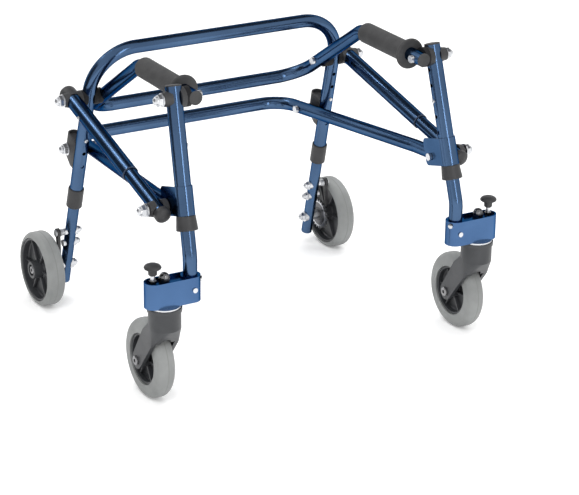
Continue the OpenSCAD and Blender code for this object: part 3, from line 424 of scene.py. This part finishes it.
def hubRings(hub):
    edge, fillet = hub["edge"], hub["fillet"]
    inner = hub["rimRadius"] - hub["rimWall"]
    return [(hub["boreRadius"], hub["boreEnd"]), (hub["boreRadius"], hub["seatLow"]),
            (hub["seatRadius"] - edge, hub["seatLow"]), (hub["seatRadius"], hub["seatLow"] + edge),
            (hub["seatRadius"], hub["bossLow"]), (hub["bossRadius"], hub["bossLow"]),
            (hub["bossRadius"], -hub["webHalf"] - fillet), (hub["bossRadius"] + fillet, -hub["webHalf"]),
            (inner - edge - fillet, -hub["webHalf"]), (inner - edge, -hub["webHalf"] - fillet),
            (inner, edge - hub["rimHalf"]), (inner + edge, -hub["rimHalf"]),
            (hub["rimRadius"] - edge, -hub["rimHalf"]), (hub["rimRadius"], edge - hub["rimHalf"]),
            (hub["rimRadius"], hub["rimHalf"] - edge), (hub["rimRadius"] - edge, hub["rimHalf"]),
            (inner + edge, hub["rimHalf"]), (inner, hub["rimHalf"] - edge),
            (inner - edge, hub["webHalf"] + fillet), (inner - edge - fillet, hub["webHalf"]),
            (hub["bossRadius"] + 2 * fillet, hub["webHalf"]),
            (hub["bossRadius"] + edge, hub["webHalf"] + edge + fillet),
            (hub["capRadius"], hub["capTop"] - edge), (hub["capRadius"] - edge, hub["capTop"]),
            (hub["sinkRadius"] + edge, hub["capTop"]), (hub["sinkRadius"], hub["capTop"] - edge),
            (hub["sinkRadius"], hub["sinkFloor"]), (hub["boltRadius"], hub["sinkFloor"]),
            (hub["boltRadius"], hub["boltTop"] - edge), (hub["boltRadius"] - edge, hub["boltTop"]),
            (hub["socketRadius"], hub["boltTop"]), (hub["socketRadius"], hub["socketFloor"])]


def hubRibs(hub):
    start = hub["bossRadius"] - hub["edge"]
    length = hub["rimRadius"] - hub["rimWall"] / 2 - start
    bpy.ops.object.select_all(action="DESELECT")
    bpy.ops.mesh.primitive_cube_add(size=1.0, location=((start + length / 2) * mm, 0, 0))
    rib = bpy.context.object
    rib.scale = (length * mm, hub["ribWidth"] * mm, 2 * hub["ribHalf"] * mm)
    bpy.ops.object.transform_apply(location=True, rotation=True, scale=True)
    bpy.ops.object.mode_set(mode="EDIT")
    bpy.ops.mesh.select_all(action="SELECT")
    bpy.ops.mesh.bevel(offset=hub["edge"] * mm, segments=edgeSegments)
    bpy.ops.object.mode_set(mode="OBJECT")
    ribs = [rib]
    for number in range(1, hub["ribs"]):
        makeActive(rib)
        bpy.ops.object.duplicate()
        ribs.append(bpy.context.object)
        ribs[-1].rotation_euler.z = number * math.tau / hub["ribs"]
        bpy.ops.object.transform_apply(location=True, rotation=True, scale=True)
    return joinPieces("hubRibs", ribs)


def makeRearHub(side, sign, hub):
    wheel = turnRings(side + "RearHub", hubRings(hub), hub["segments"])
    combine(wheel, hubRibs(hub), "UNION")
    paint(wheel, "darkPlastic")
    paintSome(wheel, "dullSteel", lambda radius, height: radius < hub["boltRadius"] + pickSlack
              and height > hub["sinkFloor"] + pickSlack)
    settle(wheel, axesAt(nodeMiddle(side + "_rear_tyre"), (sign, 0, 0)))
    carry(wheel, side + "_rear_wheel", "dark_plastic", side + "_rear_hub")


# caster hubs: the same way, alike on both faces
casterHub = {"boreRadius": 4.3, "bossRadius": 12.0, "bossHalf": 16.2, "webHalf": 2.5, "rimRadius": 41.2,
             "rimWall": 4.0, "rimHalf": 12.5, "edge": 0.8, "fillet": 1.6, "ribs": 6, "ribWidth": 3.0,
             "ribHalf": 9.0, "segments": 72, "boreSegments": 40, "boreLength": 64.8}


def makeCasterHub(side, hub):
    edge, fillet = hub["edge"], hub["fillet"]
    inner = hub["rimRadius"] - hub["rimWall"]
    oneFace = [(hub["bossRadius"] - edge, -hub["bossHalf"]), (hub["bossRadius"], edge - hub["bossHalf"]),
               (hub["bossRadius"], -hub["webHalf"] - fillet), (hub["bossRadius"] + fillet, -hub["webHalf"]),
               (inner - edge - fillet, -hub["webHalf"]), (inner - edge, -hub["webHalf"] - fillet),
               (inner, edge - hub["rimHalf"]), (inner + edge, -hub["rimHalf"]),
               (hub["rimRadius"] - edge, -hub["rimHalf"]), (hub["rimRadius"], edge - hub["rimHalf"])]
    otherFace = [(radius, -height) for radius, height in reversed(oneFace)]
    wheel = turnRings(side + "CasterHub", oneFace + otherFace, hub["segments"])
    combine(wheel, hubRibs(hub), "UNION")
    bpy.ops.object.select_all(action="DESELECT")
    bpy.ops.mesh.primitive_cylinder_add(vertices=hub["boreSegments"], radius=hub["boreRadius"] * mm,
                                        depth=hub["boreLength"] * mm)
    combine(wheel, bpy.context.object, "DIFFERENCE")
    paint(wheel, "darkPlastic")
    settle(wheel, axesAt(nodeMiddle(side + "_caster_tyre"), (1, 0, 0)))
    carry(wheel, side + "_caster_wheel", "dark_plastic", side + "_caster_hub")


# springs round the pawls' pins: a wire ring drawn into a coil
pawlSpring = {"place": (250.4, 192.796, 129.16), "coilRadius": 5.4, "wireRadius": 0.7, "wireSides": 8,
              "pitch": 1.7, "turns": 4, "turnSteps": 20, "smoothAngle": 60}


def makePawlSpring(side, sign, spring):
    bpy.ops.object.select_all(action="DESELECT")
    bpy.ops.mesh.primitive_circle_add(vertices=spring["wireSides"], radius=spring["wireRadius"] * mm,
                                      fill_type="NOTHING", location=(spring["coilRadius"] * mm, 0, 0),
                                      rotation=(math.pi / 2, 0, 0))
    coil = bpy.context.object
    coil.name = side + "PawlSpring"
    bpy.ops.object.transform_apply(location=True, rotation=True, scale=True)
    applyModifier(coil, "SCREW", screw_offset=spring["pitch"] * mm, iterations=spring["turns"],
                  steps=spring["turnSteps"], render_steps=spring["turnSteps"])
    bpy.ops.object.mode_set(mode="EDIT")
    bpy.ops.mesh.select_all(action="SELECT")
    bpy.ops.mesh.fill_holes(sides=spring["wireSides"])
    bpy.ops.mesh.select_all(action="SELECT")
    bpy.ops.mesh.normals_make_consistent(inside=False)
    bpy.ops.object.mode_set(mode="OBJECT")
    paint(coil, "steel")
    x, y, z = spring["place"]
    settle(coil, axesAt((sign * x, y, z), (sign, 0, 0)), spring["smoothAngle"])
    carry(coil, side + "_lower_rear_leg", "steel")


# swivel locks: a steel pin under a round knob
swivelLock = {"pinRings": [(2.9, 171.4), (3.6, 172.4), (3.6, 223.0)],
              "knobRings": [(5.0, 222.5), (6.6, 224.0), (7.0, 231.0), (9.0, 232.6), (12.6, 233.6),
                            (13.5, 235.0), (13.3, 236.6), (11.6, 238.8), (8.0, 240.6), (3.5, 241.4)]}


def makeSwivelLock(side, lock):
    knob = turnRings("knob", lock["knobRings"])
    paint(knob, "blackPlastic")
    pin = turnRings("pin", lock["pinRings"])
    paint(pin, "steel")
    both = joinPieces(side + "SwivelLock", [knob, pin])
    x, y, _ = nodeMiddle(side + "_swivel_lock")
    settle(both, axesAt((x, y, 0), (0, 0, 1)))
    carry(both, side + "_swivel_lock", "black_plastic", side + "_swivel_lock")


# caster axles: round heads with a socket in each end
casterAxle = {"radius": 4.0, "headRadius": 7.5, "headHeight": 3.5, "half": 27.2, "socketRadius": 3.0,
              "socketDepth": 2.4, "edge": 0.9}


def makeCasterAxle(side, axle):
    half, edge = axle["half"], axle["edge"]
    oneEnd = [(axle["socketRadius"], half - axle["socketDepth"]), (axle["socketRadius"], half),
              (axle["headRadius"] - edge, half), (axle["headRadius"], half - edge),
              (axle["headRadius"], half - axle["headHeight"]), (axle["radius"], half - axle["headHeight"])]
    otherEnd = [(radius, -height) for radius, height in reversed(oneEnd)]
    pin = turnRings(side + "CasterAxle", oneEnd + otherEnd)
    paint(pin, "dullSteel")
    settle(pin, axesAt(nodeMiddle(side + "_caster_axle"), (1, 0, 0)))
    carry(pin, side + "_caster_fork", "steel", side + "_caster_axle")


# cap nuts with a washer, on the outer ends of the pivot bolts
capNut = {"washerRings": [(10.2, 0.0), (10.8, 0.3), (10.8, 1.1), (10.2, 1.4)],
          "hexRings": [(8.9, 1.3), (9.6, 2.0), (9.6, 7.4), (8.6, 8.4)],
          "domeRings": [(7.0, 7.0), (7.0, 9.2), (6.4, 11.4), (5.0, 13.2), (2.8, 14.2), (1.0, 14.5)],
          "hexSides": 6, "domeSegments": 40,
          "places": {"upperNut": ("rear_frame", (275.9, 124.468, 384.077)),
                     "lowerNut": ("rear_frame", (244.4, 183.396, 279.0)),
                     "frontNut": ("handlebar", (252.5, -180.604, 471.0)),
                     "footNut": ("{side}_front_leg", (289.2, -194.605, 306.0))}}


def makeCapNut(side, sign, label, nut):
    body, (x, y, z) = nut["places"][label]
    washer = turnRings("washer", nut["washerRings"])
    hexagon = turnRings("hexagon", nut["hexRings"], nut["hexSides"])
    dome = turnRings("dome", nut["domeRings"], nut["domeSegments"])
    piece = joinPieces(side + label[0].upper() + label[1:], [washer, hexagon, dome])
    paint(piece, "steel")
    settle(piece, axesAt((sign * x, y, z), (sign, 0, 0)))
    carry(piece, body.format(side=side), "steel")


# black sleeves over the upper ends of the braces
braceSleeve = {"place": (259.405, 124.468, 384.077), "direction": (-0.02893, 0.970935, 0.237589),
               "rings": [(12.85, 21.3), (12.85, -5.0), (13.9, -5.0), (14.4, -4.4), (14.4, 18.6), (13.7, 21.0),
                         (11.6, 22.6), (8.0, 23.4), (3.0, 23.6)], "smoothAngle": 45}


def makeBraceSleeve(side, sign, sleeve):
    piece = turnRings(side + "BraceSleeve", sleeve["rings"])
    paint(piece, "blackPlastic")
    x, y, z = sleeve["place"]
    alongX, alongY, alongZ = sleeve["direction"]
    place = axesAt((sign * x, y, z), (sign * alongX, alongY, alongZ))
    settle(piece, place, sleeve["smoothAngle"])
    carry(piece, side + "_brace", "black_plastic")


# pivot blocks: round-backed columns behind the rear legs, with a pocket on top and a slanted foot
pivotBlock = {"legPoint": (233.357, 152.633, 279.0), "legUp": (-0.025285, -0.258819, 0.965595),
              "pivot": (219.35, 183.396, 279.0), "backRadius": 11.5, "back": 29.7, "front": 2.0, "low": -29.0,
              "high": 21.0, "cutHeight": -14.0, "cutNormal": (0, 0.46, -0.888), "legRadius": 11.25,
              "wall": 2.4, "pocket": 5.0, "edge": 1.2, "bossRings": [(6.4, 0.0), (7.0, 0.6), (7.0, 4.4)],
              "backSegments": 48, "legSegments": 64, "legCutLength": 150.0, "flatAngle": 1, "sharpAngle": 50}


def makePivotBlock(sign, block):
    height = block["high"] - block["low"]
    bpy.ops.object.select_all(action="DESELECT")
    middle = (0, block["back"] * mm, (block["low"] + height / 2) * mm)
    bpy.ops.mesh.primitive_cylinder_add(vertices=block["backSegments"], radius=block["backRadius"] * mm,
                                        depth=height * mm, location=middle)
    column = bpy.context.object
    bpy.ops.object.transform_apply(location=True, rotation=True, scale=True)
    mesh = column.data
    bpy.ops.object.mode_set(mode="EDIT")
    bpy.ops.mesh.select_mode(type="VERT")
    bpy.ops.mesh.select_all(action="DESELECT")
    bpy.ops.object.mode_set(mode="OBJECT")
    for vertex in mesh.vertices:
        vertex.select = vertex.co.y < (block["back"] - pickSlack) * mm
    bpy.ops.object.mode_set(mode="EDIT")
    bpy.ops.transform.resize(value=(1.0, 0.0, 1.0), center_override=(0, block["front"] * mm, 0))
    bpy.ops.mesh.select_all(action="SELECT")
    bpy.ops.mesh.dissolve_limited(angle_limit=math.radians(block["flatAngle"]))
    bpy.ops.mesh.select_mode(type="FACE")
    bpy.ops.mesh.select_all(action="DESELECT")
    bpy.ops.object.mode_set(mode="OBJECT")
    for face in mesh.polygons:
        face.select = face.normal.z > alongShare
    bpy.ops.object.mode_set(mode="EDIT")
    bpy.ops.mesh.inset(thickness=block["wall"] * mm)
    bpy.ops.mesh.extrude_region_move(TRANSFORM_OT_translate={"value": (0, 0, -block["pocket"] * mm)})
    bpy.ops.mesh.select_all(action="SELECT")
    cutPoint = (0, (block["back"] + block["backRadius"]) * mm, block["cutHeight"] * mm)
    bpy.ops.mesh.bisect(plane_co=cutPoint, plane_no=block["cutNormal"], use_fill=True, clear_outer=True)
    bpy.ops.mesh.select_all(action="SELECT")
    bpy.ops.mesh.normals_make_consistent(inside=False)
    bpy.ops.object.mode_set(mode="OBJECT")
    bpy.ops.object.select_all(action="DESELECT")
    bpy.ops.mesh.primitive_cylinder_add(vertices=block["legSegments"], radius=block["legRadius"] * mm,
                                        depth=block["legCutLength"] * mm)
    combine(column, bpy.context.object, "DIFFERENCE")
    applyModifier(column, "BEVEL", width=block["edge"] * mm, segments=edgeSegments, limit_method="ANGLE",
                  angle_limit=math.radians(block["sharpAngle"]))
    x, y, z = block["legPoint"]
    upX, upY, upZ = block["legUp"]
    settle(column, axesAt((sign * x, y, z), (sign * upX, upY, upZ)))
    boss = turnRings("blockBoss", block["bossRings"])
    x, y, z = block["pivot"]
    settle(boss, axesAt((sign * x, y, z), (sign, 0, 0)))
    return [column, boss]


blockPieces = []
for side, sign in sideSigns.items():
    makeRearHub(side, sign, rearHub)
    makeCasterHub(side, casterHub)
    makePawlSpring(side, sign, pawlSpring)
    makeSwivelLock(side, swivelLock)
    makeCasterAxle(side, casterAxle)
    makeBraceSleeve(side, sign, braceSleeve)
    for label in capNut["places"]:
        makeCapNut(side, sign, label, capNut)
    blockPieces += makePivotBlock(sign, pivotBlock)
blocks = joinPieces("pivotBlockPair", blockPieces)
paint(blocks, "blackPlastic")
carry(blocks, "rear_frame", "black_plastic", "pivot_blocks")
print("hubs, springs, locks, axles, nuts, sleeves and blocks ready")


# camera, as the photograph was taken
cameraRig = {"place": (-1.7152, -3.0644, 1.5397), "yaw": -30.317, "pitch": 21.980, "roll": 0.773,
             "focalPixels": 2275.8, "imageWidth": 579, "sensorWidth": 36.0}


def addCamera(rig):
    data = bpy.data.cameras.new("photoCamera")
    data.sensor_fit = "HORIZONTAL"
    data.sensor_width = rig["sensorWidth"]
    data.lens = rig["focalPixels"] / rig["imageWidth"] * data.sensor_width
    camera = bpy.data.objects.new("photoCamera", data)
    bpy.context.scene.collection.objects.link(camera)
    turn = (Matrix.Rotation(math.radians(rig["yaw"]), 4, "Z")
            @ Matrix.Rotation(math.radians(90 - rig["pitch"]), 4, "X")
            @ Matrix.Rotation(math.radians(rig["roll"]), 4, "Z"))
    camera.matrix_world = Matrix.Translation(rig["place"]) @ turn
    bpy.context.scene.camera = camera


addCamera(cameraRig)
print("camera ready")


# floor, lamps and world; the floor is pale far out, so that it ends unseen from every side
studio = {"floorSize": 14.0, "floorColor": (0.93, 0.93, 0.93), "floorGain": 1.02, "floorCloudScale": 3.0,
          "floorCloudDetail": 2.0, "floorGlow": 0.18, "farGlow": 0.42, "farStart": 1.6, "farEnd": 4.0,
          "worldFill": 0.55, "aim": (0, 0, 0.25),
          "lamps": [
              {"name": "keyLamp", "place": (-1.6, -1.8, 2.6), "size": (1.4, 1.4), "power": 46.0,
               "mirrored": False},
              {"name": "topLamp", "place": (0.3, 0.2, 2.8), "size": (2.2, 2.2), "power": 40.0,
               "mirrored": False},
              {"name": "rimLamp", "place": (2.2, 0.8, 1.8), "size": (1.2, 1.2), "power": 20.0,
               "mirrored": False},
              {"name": "stripLamp", "place": (0.0, -3.2, 1.1), "size": (0.42, 2.0), "power": 17.0,
               "mirrored": True},
              {"name": "backStrip", "place": (-1.35, 2.1, 2.7), "size": (0.22, 1.4), "power": 9.0,
               "mirrored": True}],
          "flags": [
              {"name": "cameraFlag", "place": (-0.5, -3.0, 1.2), "size": (0.5, 2.6)},
              {"name": "ceilingFlag", "place": (0.75, 0.65, 2.4), "size": (2.6, 2.0)},
              {"name": "leftFlag", "place": (-1.45, 0.65, 0.6), "size": (1.7, 1.3)}],
          "flagTone": (0.12, 0.12, 0.13), "flagShade": 0.7, "flagWeaveScale": 40.0, "flagWeaveDetail": 2.0}


def addFloor(setup):
    bpy.ops.object.select_all(action="DESELECT")
    bpy.ops.mesh.primitive_plane_add(size=setup["floorSize"], location=(0, 0, 0))
    floor = bpy.context.object
    floor.name = "floor"
    material, tree, shader, vector = newMaterial("paleFloor")
    cloud = noiseNode(tree, vector, setup["floorCloudScale"], setup["floorCloudDetail"])
    lighter = tuple(min(1.0, level * setup["floorGain"]) for level in setup["floorColor"])
    color = mixColor(tree, cloud, setup["floorColor"], lighter)
    tree.links.new(color, shader.inputs["Base Color"])
    shader.inputs["Roughness"].default_value = 1.0
    shader.inputs["Specular IOR Level"].default_value = 0.0
    shader.inputs["Emission Color"].default_value = (1, 1, 1, 1)
    seen = tree.nodes.new("ShaderNodeLightPath")
    glow = mathNode(tree, "MAXIMUM", seen.outputs["Is Camera Ray"], seen.outputs["Is Glossy Ray"])
    distance = vectorNode(tree, "LENGTH", vector).outputs["Value"]
    far = rampNode(tree, distance, setup["farStart"], setup["farEnd"])
    level = mathNode(tree, "MULTIPLY_ADD", far, setup["farGlow"])
    level.node.inputs[2].default_value = setup["floorGlow"]
    tree.links.new(mathNode(tree, "MULTIPLY", glow, level), shader.inputs["Emission Strength"])
    floor.data.materials.append(material)


# turn that points an object's -Z at the walker's middle
def aimAtWalker(setup, place):
    aim = Vector(setup["aim"]) - Vector(place)
    return aim.to_track_quat("-Z", "Y").to_euler()


def addLamps(setup):
    for lamp in setup["lamps"]:
        data = bpy.data.lights.new(lamp["name"], "AREA")
        data.shape = "RECTANGLE"
        data.size, data.size_y = lamp["size"]
        data.energy = lamp["power"]
        obj = bpy.data.objects.new(lamp["name"], data)
        bpy.context.scene.collection.objects.link(obj)
        obj.location = lamp["place"]
        obj.rotation_euler = aimAtWalker(setup, lamp["place"])
        obj.visible_glossy = lamp["mirrored"]


# dark screens that only reflections see: they give the tubes their dark bands
def addFlags(setup):
    material, tree, shader, vector = newMaterial("flagCloth")
    weave = noiseNode(tree, vector, setup["flagWeaveScale"], setup["flagWeaveDetail"])
    darker = tuple(setup["flagShade"] * level for level in setup["flagTone"])
    tree.links.new(mixColor(tree, weave, darker, setup["flagTone"]), shader.inputs["Base Color"])
    shader.inputs["Roughness"].default_value = 1.0
    shader.inputs["Specular IOR Level"].default_value = 0.0
    for flag in setup["flags"]:
        bpy.ops.object.select_all(action="DESELECT")
        bpy.ops.mesh.primitive_plane_add(size=1.0, location=flag["place"],
                                         rotation=aimAtWalker(setup, flag["place"]))
        screen = bpy.context.object
        screen.name = flag["name"]
        screen.scale = (*flag["size"], 1.0)
        screen.data.materials.append(material)
        screen.visible_camera = False
        screen.visible_diffuse = False
        screen.visible_transmission = False
        screen.visible_shadow = False


def addWorld(setup):
    world = bpy.data.worlds.new("studioWorld")
    bpy.context.scene.world = world
    world.use_nodes = True
    tree = world.node_tree
    background = tree.nodes["Background"]
    background.inputs["Color"].default_value = (1, 1, 1, 1)
    seen = tree.nodes.new("ShaderNodeLightPath")
    direct = mathNode(tree, "MAXIMUM", seen.outputs["Is Camera Ray"], seen.outputs["Is Glossy Ray"])
    direct = mathNode(tree, "MAXIMUM", direct, seen.outputs["Is Transmission Ray"])
    strength = mathNode(tree, "MULTIPLY_ADD", direct, 1.0 - setup["worldFill"])
    strength.node.inputs[2].default_value = setup["worldFill"]
    tree.links.new(strength, background.inputs["Strength"])


addFloor(studio)
addLamps(studio)
addFlags(studio)
addWorld(studio)
bpy.context.scene.view_settings.view_transform = "Standard"
print("studio ready")
